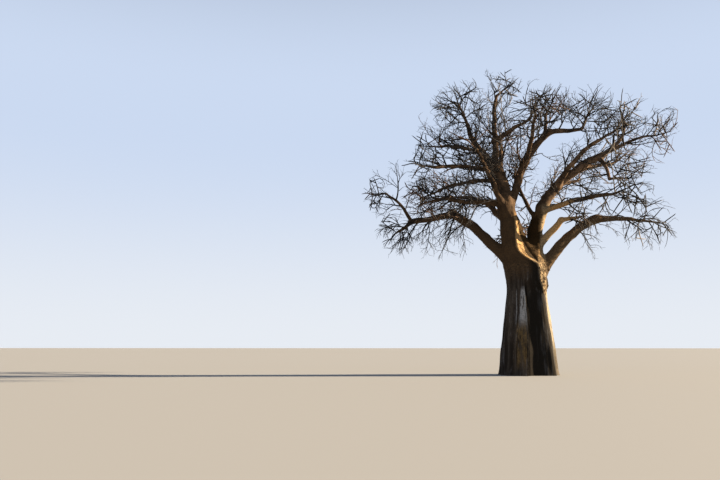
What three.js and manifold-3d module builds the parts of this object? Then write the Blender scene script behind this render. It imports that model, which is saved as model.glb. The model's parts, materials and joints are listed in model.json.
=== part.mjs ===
// A bare baobab in the dry season: a stout trunk cut flat at the ground, its boughs, and the
// masses of leafless twigs at their tips. Millimetres and degrees, +Z up. The origin is the
// middle of the trunk's flat foot. Heading 0 is +X, 90 is +Y and 180 is -X.
import * as THREE from "three";
import { mergeVertices } from "three/addons/utils/BufferGeometryUtils.js";
import Module from "manifold-3d";

const wasm = await Module();
wasm.setup();

// Driving dimensions of the trunk. Its radius falls along a cosine from the foot to the waist
// and swells again under the fork.
const trunk = {
  top: 7050,
  waist: 5400,
  footRadius: 1580,
  waistRadius: 1130,
  forkRadius: 1230,
  domeHeight: 700, // of the rounded top
  domeInset: 0.6, // how far the rounded top draws in
  domeRise: 175, // of its middle over its rim
  flare: 80,
  flareHeight: 260,
  lean: 45, // towards +X at the top
  sides: 26,
  rows: 12,
  rowCrowding: 1.15, // above 1, the rows are closer together at the foot
};

// The trunk's upright folds: how many go round, how deep they are at the foot as a share of the
// radius, and where each set begins.
const folds = [
  { count: 3, depth: 0.035, from: 0 },
  { count: 7, depth: 0.035, from: 12.9 },
  { count: 11, depth: 0.02, from: 8.2 },
];
const foldLeft = 0.3; // share of the folds' depth that is left at the fork
const foldFlare = 4; // how much more deeply they cut the root flare

const limbSides = [[300, 10], [160, 8], [0, 6]]; // from this radius at its start, this many sides
const clearance = 0.3; // between pieces that meet
const ringSpacing = 640; // along a limb
const cutBox = 6000; // wider than any limb's first stretch
const collar = { swell: 0.42, reach: 1.5 }; // a limb's thickened foot, as shares of its radius

// Each limb starts on the middle line of the limb it grows from, at a share of that line, or at
// a height on the trunk's. heading and rise are its direction at its start, middle and end.
const limbs = [
  { name: "stem_left", height: 5600, length: 6950, radius: [590, 400], heading: [185, 205, 205],
    rise: [62, 82, 62], onTrunk: 1750 },
  { name: "stem_right", height: 5850, length: 4400, radius: [560, 335], heading: [30, 42, 6],
    rise: [54, 76, 67], onTrunk: 1800 },
  { name: "bough_left_low", height: 5850, length: 5750, radius: [370, 240], heading: [181, 178, 172],
    rise: [46, 43, 40], onTrunk: 1900 },
  { name: "bough_right_low", height: 5100, length: 6200, radius: [370, 250], heading: [10, 22, 20],
    rise: [44, 47, 22], onTrunk: 2000 },
  { name: "bough_back_low", height: 5550, length: 6300, radius: [340, 200], heading: [95, 98, 92],
    rise: [46, 36, 14], onTrunk: 1900 },
  { name: "leader_left", from: "stem_left", at: 0.985, length: 3150, radius: [235, 110],
    heading: [192, 194, 212], rise: [54, 58, 70] },
  { name: "leader_top", from: "stem_left", at: 0.99, length: 5100, radius: [215, 85],
    heading: [60, 95, 30], rise: [74, 79, 68] },
  { name: "bough_left_high", from: "stem_left", at: 0.95, length: 4150, radius: [150, 85],
    heading: [215, 214, 224], rise: [12, -3, -12] },
  { name: "bough_left_mid", from: "stem_left", at: 0.84, length: 5300, radius: [140, 80],
    heading: [138, 141, 144], rise: [24, 6, -12] },
  { name: "bough_left_cross", from: "stem_left", at: 0.67, length: 4200, radius: [180, 100],
    heading: [210, 213, 224], rise: [4, -4, 12] },
  { name: "bough_centre", from: "stem_left", at: 0.5, length: 6100, radius: [260, 190],
    heading: [50, -6, -17], rise: [80, 66, 36] },
  { name: "bough_back_left", from: "stem_left", at: 0.4, length: 5800, radius: [230, 120],
    heading: [118, 128, 132], rise: [50, 34, 14] },
  { name: "bough_front_left", from: "stem_left", at: 0.6, length: 4700, radius: [190, 110],
    heading: [242, 252, 262], rise: [44, 30, 12] },
  { name: "bough_back_high", from: "stem_left", at: 0.9, length: 4400, radius: [160, 90],
    heading: [80, 88, 96], rise: [56, 44, 28] },
  { name: "bough_left_outer", from: "bough_left_low", at: 0.985, length: 2700, radius: [205, 140],
    heading: [180, 181, 185], rise: [-12, -9, -8] },
  { name: "bough_left_tip", from: "bough_left_outer", at: 0.97, length: 2450, radius: [115, 60],
    heading: [190, 196, 198], rise: [60, 50, 26] },
  { name: "bough_left_shoulder", from: "leader_left", at: 0.35, length: 2700, radius: [125, 70],
    heading: [186, 178, 172], rise: [32, 14, 2] },
  { name: "bough_crown_mid", from: "leader_top", at: 0.36, length: 2700, radius: [165, 85],
    heading: [327, 325, 322], rise: [28, 14, 24] },
  { name: "bough_centre_right", from: "bough_centre", at: 0.985, length: 2000, radius: [165, 90],
    heading: [335, 333, 328], rise: [-2, -5, -3] },
  { name: "bough_centre_up", from: "bough_centre", at: 0.93, length: 1750, radius: [140, 75],
    heading: [62, 80, 92], rise: [62, 66, 66] },
  { name: "bough_front_mid", from: "bough_centre", at: 0.45, length: 4500, radius: [170, 95],
    heading: [292, 284, 276], rise: [36, 28, 16] },
  { name: "bough_right_high", from: "stem_right", at: 0.985, length: 4800, radius: [310, 205],
    heading: [2, -3, -7], rise: [60, 40, 16] },
  { name: "bough_right_mid", from: "stem_right", at: 0.93, length: 5500, radius: [180, 95],
    heading: [320, 304, 307], rise: [10, -2, -2] },
  { name: "bough_right_inner", from: "stem_right", at: 0.8, length: 3900, radius: [135, 70],
    heading: [160, 135, 100], rise: [50, 60, 50] },
  { name: "bough_back_right", from: "stem_right", at: 0.7, length: 6200, radius: [260, 130],
    heading: [78, 62, 54], rise: [54, 38, 18] },
  { name: "stub_right", from: "stem_right", at: 0.42, length: 2250, radius: [200, 170],
    heading: [348, 336, 328], rise: [34, 40, 40] },
  { name: "bough_right_top", from: "bough_right_high", at: 0.985, length: 3050, radius: [140, 75],
    heading: [18, 28, 95], rise: [38, 48, 78] },
  { name: "bough_right_far", from: "bough_right_high", at: 0.93, length: 2800, radius: [130, 75],
    heading: [-14, -2, 5], rise: [24, 26, 14] },
  { name: "bough_right_drop", from: "bough_right_high", at: 0.96, length: 1900, radius: [130, 85],
    heading: [302, 288, 281], rise: [-40, -58, -64] },
  { name: "bough_back_far_right", from: "bough_right_high", at: 0.45, length: 4400, radius: [170, 90],
    heading: [52, 42, 36], rise: [32, 20, 8] },
  { name: "bough_front_right", from: "bough_right_high", at: 0.3, length: 4400, radius: [180, 95],
    heading: [298, 304, 310], rise: [38, 26, 12] },
  { name: "bough_right_outer", from: "bough_right_low", at: 0.985, length: 2200, radius: [215, 110],
    heading: [14, 9, 5], rise: [8, 0, -6] },
];

// Each mass of twigs grows from one limb's tip. Its reach sets the size of the ball it fills.
const masses = [
  { name: "twigs_leader_left", limb: "leader_left", heading: 228, rise: 66, reach: 2600, seed: 187 },
  { name: "twigs_top", limb: "leader_top", heading: 5, rise: 36, reach: 1750, seed: 372 },
  { name: "twigs_crown_mid", limb: "bough_crown_mid", heading: 310, rise: 40, reach: 2100, seed: 185 },
  { name: "twigs_left_high", limb: "bough_left_high", heading: 205, rise: 6, reach: 1900, seed: 82 },
  { name: "twigs_left_mid", limb: "bough_left_mid", heading: 155, rise: -10, reach: 2300, seed: 47 },
  { name: "twigs_left_cross", limb: "bough_left_cross", heading: 225, rise: -6, reach: 2400, seed: 9 },
  { name: "twigs_left_outer", limb: "bough_left_outer", heading: 196, rise: -42, reach: 2200, seed: 43 },
  { name: "twigs_left_tip", limb: "bough_left_tip", heading: 190, rise: -12, reach: 1650, seed: 198 },
  { name: "twigs_left_shoulder", limb: "bough_left_shoulder", heading: 170, rise: 16, reach: 1950, seed: 228 },
  { name: "twigs_centre_up", limb: "bough_centre_up", heading: 40, rise: 62, reach: 2000, seed: 148 },
  { name: "twigs_centre_right", limb: "bough_centre_right", heading: 345, rise: 56, reach: 2500, seed: 277 },
  { name: "twigs_right_top", limb: "bough_right_top", heading: 95, rise: 58, reach: 2100, seed: 1 },
  { name: "twigs_right_far", limb: "bough_right_far", heading: 3, rise: 8, reach: 2400, seed: 230 },
  { name: "twigs_right_drop", limb: "bough_right_drop", heading: 335, rise: -6, reach: 2400, seed: 237 },
  { name: "twigs_right_mid", limb: "bough_right_mid", heading: 312, rise: -4, reach: 2500, seed: 50 },
  { name: "twigs_right_outer", limb: "bough_right_outer", heading: 5, rise: -4, reach: 2600, seed: 226 },
  { name: "twigs_right_inner", limb: "bough_right_inner", heading: 60, rise: 46, reach: 2100, seed: 3 },
  { name: "twigs_stub", limb: "stub_right", heading: 335, rise: 12, reach: 2000, seed: 229 },
  { name: "twigs_back_low", limb: "bough_back_low", heading: 90, rise: 8, reach: 2700, seed: 7 },
  { name: "twigs_back_left", limb: "bough_back_left", heading: 134, rise: 10, reach: 2800, seed: 266 },
  { name: "twigs_back_right", limb: "bough_back_right", heading: 55, rise: 14, reach: 2800, seed: 103 },
  { name: "twigs_back_high", limb: "bough_back_high", heading: 96, rise: 30, reach: 2600, seed: 40 },
  { name: "twigs_back_far_right", limb: "bough_back_far_right", heading: 36, rise: 12, reach: 2600, seed: 196 },
  { name: "twigs_front_left", limb: "bough_front_left", heading: 262, rise: 14, reach: 2600, seed: 48 },
  { name: "twigs_front_mid", limb: "bough_front_mid", heading: 275, rise: 18, reach: 2500, seed: 102 },
  { name: "twigs_front_right", limb: "bough_front_right", heading: 312, rise: 14, reach: 2600, seed: 400 },
];

// How twigs branch, level by level: lengths are shares of the mass's reach, and a twig's radius
// falls to nothing at its tip.
const twigLevels = [
  { length: 0.85, bends: 3, children: 7, from: 0.12, until: 0.9 },
  { length: 0.66, bends: 2, children: 3, from: 0.35, until: 0.82 },
  { length: 0.4, bends: 1, children: 0 },
];
const twigRule = {
  stem: 0.9, // a mass's stem at its foot, as a share of its limb's tip
  spread: 58,
  spreadRange: 24,
  roll: 137.5,
  rollRange: 40,
  wander: 0.16,
  droop: 0.14,
  lengthRange: 0.35,
  taper: 0.6,
  thinning: 0.45, // a twig's radius at its foot, as a share of its parent's there
  sides: 3,
  ballCentre: 0.38, // along the stem, as a share of the reach
  ballRadius: 0.78,
  margin: 90, // to a neighbour's space
};

const wood = { bark: 0x5d4a3c, twig: 0x6b5a4b, roughness: 0.85 };

const radians = THREE.MathUtils.degToRad;
const up = new THREE.Vector3(0, 0, 1);

// The direction with this heading and rise.
function direction(heading, rise) {
  const flat = Math.cos(radians(rise));
  return new THREE.Vector3(
    flat * Math.cos(radians(heading)),
    flat * Math.sin(radians(heading)),
    Math.sin(radians(rise)),
  );
}

// The smooth value at a share of the way through a start, a middle and an end value.
function through([start, middle, end], share) {
  return (
    start * (1 - share) * (1 - 2 * share) +
    middle * 4 * share * (1 - share) +
    end * share * (2 * share - 1)
  );
}

// A closed geometry as a solid that can be joined and cut.
function solidOf(geometry) {
  const bare = geometry.clone();
  bare.deleteAttribute("normal");
  bare.deleteAttribute("uv");
  const merged = mergeVertices(bare, 1e-3);
  return new wasm.Manifold(
    new wasm.Mesh({
      numProp: 3,
      vertProperties: new Float32Array(merged.attributes.position.array),
      triVerts: new Uint32Array(merged.index.array),
    }),
  );
}

// A solid as a geometry again.
function geometryOf(solid) {
  const { vertProperties, triVerts } = solid.getMesh();
  const geometry = new THREE.BufferGeometry();
  geometry.setAttribute("position", new THREE.BufferAttribute(vertProperties, 3));
  geometry.setIndex(new THREE.BufferAttribute(triVerts, 1));
  geometry.computeVertexNormals();
  return geometry;
}

// A closed tube: a cylinder or cone whose rows are moved onto a path, each with its own radius.
function bentTube(points, radiusAt, sides) {
  const rows = points.length - 1;
  const { normals, binormals } = new THREE.CatmullRomCurve3(points).computeFrenetFrames(rows, false);
  const tube = new THREE.CylinderGeometry(radiusAt(1) > 0 ? 1 : 0, 1, 1, sides, rows);
  const place = tube.attributes.position;
  for (let i = 0; i < place.count; i++) {
    const share = place.getY(i) + 0.5;
    const row = Math.round(share * rows);
    const out = Math.hypot(place.getX(i), place.getZ(i));
    const scale = out > 0 ? radiusAt(share) / out : 0;
    const spot = points[row].clone();
    spot.addScaledVector(normals[row], place.getX(i) * scale);
    spot.addScaledVector(binormals[row], -place.getZ(i) * scale);
    place.setXYZ(i, spot.x, spot.y, spot.z);
  }
  return tube;
}

// The trunk's radius at a height and a heading, folds and flare included.
function trunkRadius(height, heading) {
  const { waist, footRadius, waistRadius, forkRadius, top, flare, flareHeight } = trunk;
  const fall = 0.5 + 0.5 * Math.cos(Math.PI * Math.min(height / waist, 1));
  const swell = Math.max(0, (height - waist) / (top - waist));
  const round =
    waistRadius + (footRadius - waistRadius) * fall + (forkRadius - waistRadius) * swell;
  const foot = flare * Math.exp(-height / flareHeight);
  const depth = 1 - (1 - foldLeft) * Math.min(height / waist, 1);
  let fold = 0;
  for (const { count, depth: share, from } of folds)
    fold += share * Math.cos(radians(count * (heading - from)));
  return round * (1 + fold * depth) + foot * (1 + foldFlare * fold);
}

const trunkLean = (height) => (trunk.lean * height) / trunk.top;

// The trunk's column with a domed top, everywhere grown outwards by a little.
function trunkColumn(grow) {
  const { top, domeHeight, domeInset, domeRise, sides, rows, rowCrowding } = trunk;
  const column = new THREE.CylinderGeometry(1, 1, 1, sides, rows);
  const place = column.attributes.position;
  for (let i = 0; i < place.count; i++) {
    const share = place.getY(i) + 0.5;
    const height = top * share ** rowCrowding;
    const dome = Math.max(0, (height - top + domeHeight) / domeHeight);
    const heading = THREE.MathUtils.radToDeg(Math.atan2(-place.getZ(i), place.getX(i)));
    const out = Math.hypot(place.getX(i), place.getZ(i));
    const narrowing = Math.sqrt(1 - domeInset * dome ** 2);
    const reach = out * (trunkRadius(height, heading) * narrowing + grow);
    const lift = share > 0.5 ? (1 - out) * domeRise + grow : 0;
    place.setXYZ(
      i,
      reach * Math.cos(radians(heading)) + trunkLean(height),
      reach * Math.sin(radians(heading)),
      height + lift,
    );
  }
  return solidOf(column);
}

// A limb's middle line, as evenly spaced points that follow its heading and rise.
function limbPoints(limb, start) {
  const rows = Math.max(3, Math.round(limb.length / ringSpacing));
  const points = [start.clone()];
  for (let row = 0; row < rows; row++) {
    const share = (row + 0.5) / rows;
    const way = direction(through(limb.heading, share), through(limb.rise, share));
    points.push(points[row].clone().addScaledVector(way, limb.length / rows));
  }
  return points;
}

// A limb's radius at a distance along it: an even taper, with a collar where it leaves its parent.
function limbRadius(limb, share) {
  const [foot, tip] = limb.radius;
  const outside = Math.max(0, share * limb.length - limb.hidden);
  const swell = collar.swell * Math.exp(-outside / (collar.reach * foot));
  return (foot + (tip - foot) * share) * (1 + swell);
}

// The point and direction on a row of points at a share of its length.
function alongPoints(points, share) {
  const spot = share * (points.length - 1);
  const row = Math.min(Math.floor(spot), points.length - 2);
  const way = points[row + 1].clone().sub(points[row]);
  return {
    point: points[row].clone().addScaledVector(way, spot - row),
    way: way.normalize(),
  };
}

// A limb's whole tube, grown outwards and past both ends by a little.
function limbTube(limb, grow) {
  const points = limb.points.map((point) => point.clone());
  const last = points.length - 1;
  points[0].addScaledVector(alongPoints(points, 0).way, -grow);
  points[last].addScaledVector(alongPoints(limb.points, 1).way, grow);
  const flatten = Math.cos(Math.PI / limb.sides);
  return solidOf(
    bentTube(points, (share) => limbRadius(limb, share) + grow / flatten, limb.sides),
  );
}

// The limbs' middle lines, each from its parent's.
const byName = new Map();
for (const limb of limbs) {
  const parent = byName.get(limb.from);
  const start = parent
    ? alongPoints(parent.points, limb.at).point
    : new THREE.Vector3(trunkLean(limb.height), 0, limb.height);
  limb.hidden = parent ? limbRadius(parent, limb.at) : trunk.waistRadius;
  limb.points = limbPoints(limb, start);
  limb.sides = limbSides.find(([least]) => limb.radius[0] >= least)[1];
  byName.set(limb.name, limb);
}

// A box that holds everything up to a cut across a limb, for splitting it there.
function partBefore(limb, distance, grow) {
  const { point, way } = alongPoints(limb.points, distance / limb.length);
  const box = new THREE.BoxGeometry(cutBox, cutBox, cutBox);
  box.translate(0, 0, grow - cutBox / 2);
  box.applyQuaternion(new THREE.Quaternion().setFromUnitVectors(up, way));
  box.translate(point.x, point.y, point.z);
  return solidOf(box);
}

// The trunk takes in the first stretch of each limb that leaves it, as the arms of its fork.
function trunkSolid(grow) {
  let whole = trunkColumn(grow);
  for (const limb of limbs.filter((each) => each.onTrunk))
    whole = whole.add(limbTube(limb, grow).intersect(partBefore(limb, limb.onTrunk, grow)));
  return whole;
}

function largestBody(solid) {
  const bodies = solid.decompose();
  return bodies.reduce((best, body) => (body.volume() > best.volume() ? body : best));
}

function boxesMeet(a, b) {
  const [p, q] = [a.boundingBox(), b.boundingBox()];
  return [0, 1, 2].every((k) => p.min[k] <= q.max[k] && q.min[k] <= p.max[k]);
}

const tree = new THREE.Group();
const barkMaterial = new THREE.MeshStandardMaterial({ color: wood.bark, roughness: wood.roughness });
const twigMaterial = new THREE.MeshStandardMaterial({ color: wood.twig, roughness: wood.roughness });

function addPiece(name, solid, material) {
  const mesh = new THREE.Mesh(geometryOf(solid), material);
  mesh.name = name;
  tree.add(mesh);
}

// The trunk, and then each limb, cut clear of the trunk and of the limbs before it.
const cutters = [trunkSolid(clearance)];
addPiece("trunk", trunkSolid(0), barkMaterial);
for (const limb of limbs) {
  let solid = limbTube(limb, 0);
  for (const cutter of cutters)
    if (boxesMeet(solid, cutter)) solid = solid.subtract(cutter);
  cutters.push(limbTube(limb, clearance));
  addPiece(limb.name, largestBody(solid), barkMaterial);
}

// A repeatable row of numbers from 0 to 1.
function seeded(seed) {
  let state = seed >>> 0;
  return () => {
    state = (Math.imul(state, 1664525) + 1013904223) >>> 0;
    return state / 4294967296;
  };
}

const childSeed = (seed, index) => (Math.imul(seed ^ (index + 1), 2654435761) + 97) >>> 0;

// Straight stretches of every limb and of the trunk, each with its radius, that twigs keep off.
const stretches = [];
for (const limb of limbs)
  for (let row = 0; row + 1 < limb.points.length; row++)
    stretches.push({
      from: limb.points[row],
      to: limb.points[row + 1],
      radius: limbRadius(limb, row / (limb.points.length - 1)),
    });
stretches.push({
  from: new THREE.Vector3(),
  to: new THREE.Vector3(0, 0, trunk.top),
  radius: trunk.forkRadius,
});

// The least distance between two straight stretches.
function distanceBetween(a, b, c, d) {
  const [u, v, w] = [b.clone().sub(a), d.clone().sub(c), a.clone().sub(c)];
  const [uu, uv, vv, uw, vw] = [u.dot(u), u.dot(v), v.dot(v), u.dot(w), v.dot(w)];
  const clamp = THREE.MathUtils.clamp;
  const cross = uu * vv - uv * uv;
  let s = cross > 1e-9 * uu * vv ? clamp((uv * vw - vv * uw) / cross, 0, 1) : 0;
  const t = clamp((uv * s + vw) / vv, 0, 1);
  s = clamp((uv * t - uw) / uu, 0, 1);
  return w.addScaledVector(u, s).addScaledVector(v, -t).length();
}

for (const mass of masses) {
  const limb = byName.get(mass.limb);
  mass.way = direction(mass.heading, mass.rise);
  mass.start = alongPoints(limb.points, 1).point;
  mass.stem = limb.radius[1] * twigRule.stem;
  mass.centre = mass.start.clone().addScaledVector(mass.way, twigRule.ballCentre * mass.reach);
}

// Whether a point lies in a mass's own space: in its ball, and nearer its centre than another's.
function inSpace(mass, point) {
  const own = point.distanceTo(mass.centre);
  if (own > twigRule.ballRadius * mass.reach) return false;
  const share = (own + twigRule.margin) / mass.reach;
  return masses.every(
    (other) => other === mass || share < point.distanceTo(other.centre) / other.reach,
  );
}

function clearOfLimbs(from, to, radius) {
  return stretches.every(
    (each) => distanceBetween(from, to, each.from, each.to) > each.radius + radius,
  );
}

// A twig's radius at a share of its length: it thins slowly and then runs out to a point.
const twigRadius = (foot, share) => foot * (1 - share) ** twigRule.taper;

// One twig's bends, and then those of its children, by the seeded rule.
function grow(mass, level, seed, start, way, foot, twigs) {
  const rule = twigLevels[level];
  const random = seeded(seed);
  const centred = () => random() * 2 - 1;
  const length = mass.reach * rule.length * (1 + twigRule.lengthRange * centred());
  const points = [start.clone()];
  const heading = way.clone();
  for (let bend = 0; bend < rule.bends; bend++) {
    heading.x += twigRule.wander * centred();
    heading.y += twigRule.wander * centred();
    heading.z += twigRule.wander * centred() - (level > 0 ? twigRule.droop : 0);
    heading.normalize();
    points.push(points[bend].clone().addScaledVector(heading, length / rule.bends));
  }
  for (let bend = 0; bend < rule.bends; bend++) {
    if (!inSpace(mass, points[bend + 1])) return;
    if (level + bend > 0 && !clearOfLimbs(points[bend], points[bend + 1], foot)) return;
  }
  twigs.push({ points, foot });
  let roll = 360 * random();
  for (let child = 0; child < rule.children; child++) {
    const share = rule.from + (rule.until - rule.from) * (child / (rule.children - 1));
    const { point, way: along } = alongPoints(points, share);
    const spread = twigRule.spread + twigRule.spreadRange * centred();
    roll += twigRule.roll + twigRule.rollRange * centred();
    const side = new THREE.Vector3(-along.y, along.x, 0);
    if (side.length() < 0.05) side.set(1, 0, 0);
    side.normalize().applyAxisAngle(along, radians(roll));
    const off = along.clone().applyAxisAngle(side, radians(spread));
    const thin = twigRule.thinning * twigRadius(foot, share);
    grow(mass, level + 1, childSeed(seed, child), point, off, thin, twigs);
  }
}

// A twig as a pointed solid. Every twig but the stem starts inside its parent.
function twigSolid({ points, foot }) {
  return solidOf(bentTube(points, (share) => twigRadius(foot, share), twigRule.sides));
}

for (const mass of masses) {
  const twigs = [];
  grow(mass, 0, mass.seed, mass.start, mass.way, mass.stem, twigs);
  let solid = twigs.map(twigSolid).reduce((sum, each) => sum.add(each));
  for (const cutter of cutters)
    if (boxesMeet(solid, cutter)) solid = solid.subtract(cutter);
  addPiece(mass.name, largestBody(solid), twigMaterial);
}

export default tree;
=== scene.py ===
import json
import math

import bmesh
import bpy
import numpy as np
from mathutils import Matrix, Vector, noise

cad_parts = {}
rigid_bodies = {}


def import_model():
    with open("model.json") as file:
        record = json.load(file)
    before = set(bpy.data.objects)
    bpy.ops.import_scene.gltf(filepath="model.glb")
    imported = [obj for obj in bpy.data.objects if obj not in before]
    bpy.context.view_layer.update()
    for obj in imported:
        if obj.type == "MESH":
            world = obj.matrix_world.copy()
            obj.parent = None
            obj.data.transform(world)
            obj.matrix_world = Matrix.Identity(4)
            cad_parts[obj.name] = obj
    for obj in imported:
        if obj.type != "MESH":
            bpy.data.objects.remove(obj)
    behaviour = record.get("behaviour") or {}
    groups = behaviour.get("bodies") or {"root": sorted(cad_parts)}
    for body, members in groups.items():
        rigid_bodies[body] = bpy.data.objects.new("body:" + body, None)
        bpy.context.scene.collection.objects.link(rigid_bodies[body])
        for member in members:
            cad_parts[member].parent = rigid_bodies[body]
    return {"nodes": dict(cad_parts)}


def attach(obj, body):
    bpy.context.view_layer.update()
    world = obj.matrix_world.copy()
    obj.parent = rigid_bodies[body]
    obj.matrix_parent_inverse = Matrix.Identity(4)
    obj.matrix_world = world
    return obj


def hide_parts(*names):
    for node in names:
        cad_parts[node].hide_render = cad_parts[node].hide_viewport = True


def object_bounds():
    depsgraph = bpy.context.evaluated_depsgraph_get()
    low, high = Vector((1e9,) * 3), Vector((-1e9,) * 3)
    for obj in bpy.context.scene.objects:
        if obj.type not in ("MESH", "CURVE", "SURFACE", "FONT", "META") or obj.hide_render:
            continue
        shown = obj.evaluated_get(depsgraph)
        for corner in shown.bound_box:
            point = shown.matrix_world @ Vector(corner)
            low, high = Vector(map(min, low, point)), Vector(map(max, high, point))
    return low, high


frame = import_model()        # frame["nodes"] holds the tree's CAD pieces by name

cadLow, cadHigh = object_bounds()
print("loaded", len(frame["nodes"]), "CAD pieces")

tiny, huge = 1e-9, 1e9


def linked(name, data):
    made = bpy.data.objects.new(name, data)
    bpy.context.collection.objects.link(made)
    return made


# The camera stands at eye height on the ground before the tree, tilted up and turned to the left

cameraSet = {"place": (0.0, -42.31, 1.6), "tilt": 8.69, "turn": 13.27, "lens": 35, "sensor": 36, "far": 2000}

cameraData = bpy.data.cameras.new("groundCamera")
cameraData.lens = cameraSet["lens"]
cameraData.sensor_width = cameraSet["sensor"]
cameraData.clip_end = cameraSet["far"]
camera = linked("groundCamera", cameraData)
camera.location = cameraSet["place"]
camera.rotation_euler = (math.radians(90 + cameraSet["tilt"]), 0, math.radians(cameraSet["turn"]))
bpy.context.scene.camera = camera

# The growth, in metres, with the same sizes and the same rule as the source

trunk = {
    "top": 7.05, "waist": 5.4, "footRadius": 1.58, "waistRadius": 1.13, "forkRadius": 1.23,
    "domeHeight": 0.7, "domeInset": 0.6, "flare": 0.08, "flareHeight": 0.26, "lean": 0.045,
}
folds = [(3, 0.035, 0.0), (7, 0.035, 12.9), (11, 0.02, 8.2)]    # how many, how deep, where they begin
foldSet = {"left": 0.3, "flare": 4.0}    # share of the depth left at the fork, extra depth in the flare
collar = {"swell": 0.42, "reach": 1.5}
ringSpacing = 0.64

# name, what it grows from, where on it, length, radius at foot and tip, headings, rises
limbRows = [
    ("stem_left", "trunk", 5.6, 6.95, (0.59, 0.4), (185, 205, 205), (62, 82, 62)),
    ("stem_right", "trunk", 5.85, 4.4, (0.56, 0.335), (30, 42, 6), (54, 76, 67)),
    ("bough_left_low", "trunk", 5.85, 5.75, (0.37, 0.24), (181, 178, 172), (46, 43, 40)),
    ("bough_right_low", "trunk", 5.1, 6.2, (0.37, 0.25), (10, 22, 20), (44, 47, 22)),
    ("bough_back_low", "trunk", 5.55, 6.3, (0.34, 0.2), (95, 98, 92), (46, 36, 14)),
    ("leader_left", "stem_left", 0.985, 3.15, (0.235, 0.11), (192, 194, 212), (54, 58, 70)),
    ("leader_top", "stem_left", 0.99, 5.1, (0.215, 0.085), (60, 95, 30), (74, 79, 68)),
    ("bough_left_high", "stem_left", 0.95, 4.15, (0.15, 0.085), (215, 214, 224), (12, -3, -12)),
    ("bough_left_mid", "stem_left", 0.84, 5.3, (0.14, 0.08), (138, 141, 144), (24, 6, -12)),
    ("bough_left_cross", "stem_left", 0.67, 4.2, (0.18, 0.1), (210, 213, 224), (4, -4, 12)),
    ("bough_centre", "stem_left", 0.5, 6.1, (0.26, 0.19), (50, -6, -17), (80, 66, 36)),
    ("bough_back_left", "stem_left", 0.4, 5.8, (0.23, 0.12), (118, 128, 132), (50, 34, 14)),
    ("bough_front_left", "stem_left", 0.6, 4.7, (0.19, 0.11), (242, 252, 262), (44, 30, 12)),
    ("bough_back_high", "stem_left", 0.9, 4.4, (0.16, 0.09), (80, 88, 96), (56, 44, 28)),
    ("bough_left_outer", "bough_left_low", 0.985, 2.7, (0.205, 0.14), (180, 181, 185), (-12, -9, -8)),
    ("bough_left_tip", "bough_left_outer", 0.97, 2.45, (0.115, 0.06), (190, 196, 198), (60, 50, 26)),
    ("bough_left_shoulder", "leader_left", 0.35, 2.7, (0.125, 0.07), (186, 178, 172), (32, 14, 2)),
    ("bough_crown_mid", "leader_top", 0.36, 2.7, (0.165, 0.085), (327, 325, 322), (28, 14, 24)),
    ("bough_centre_right", "bough_centre", 0.985, 2.0, (0.165, 0.09), (335, 333, 328), (-2, -5, -3)),
    ("bough_centre_up", "bough_centre", 0.93, 1.75, (0.14, 0.075), (62, 80, 92), (62, 66, 66)),
    ("bough_front_mid", "bough_centre", 0.45, 4.5, (0.17, 0.095), (292, 284, 276), (36, 28, 16)),
    ("bough_right_high", "stem_right", 0.985, 4.8, (0.31, 0.205), (2, -3, -7), (60, 40, 16)),
    ("bough_right_mid", "stem_right", 0.93, 5.5, (0.18, 0.095), (320, 304, 307), (10, -2, -2)),
    ("bough_right_inner", "stem_right", 0.8, 3.9, (0.135, 0.07), (160, 135, 100), (50, 60, 50)),
    ("bough_back_right", "stem_right", 0.7, 6.2, (0.26, 0.13), (78, 62, 54), (54, 38, 18)),
    ("stub_right", "stem_right", 0.42, 2.25, (0.2, 0.17), (348, 336, 328), (34, 40, 40)),
    ("bough_right_top", "bough_right_high", 0.985, 3.05, (0.14, 0.075), (18, 28, 95), (38, 48, 78)),
    ("bough_right_far", "bough_right_high", 0.93, 2.8, (0.13, 0.075), (-14, -2, 5), (24, 26, 14)),
    ("bough_right_drop", "bough_right_high", 0.96, 1.9, (0.13, 0.085), (302, 288, 281), (-40, -58, -64)),
    ("bough_back_far_right", "bough_right_high", 0.45, 4.4, (0.17, 0.09), (52, 42, 36), (32, 20, 8)),
    ("bough_front_right", "bough_right_high", 0.3, 4.4, (0.18, 0.095), (298, 304, 310), (38, 26, 12)),
    ("bough_right_outer", "bough_right_low", 0.985, 2.2, (0.215, 0.11), (14, 9, 5), (8, 0, -6)),
]

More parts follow.
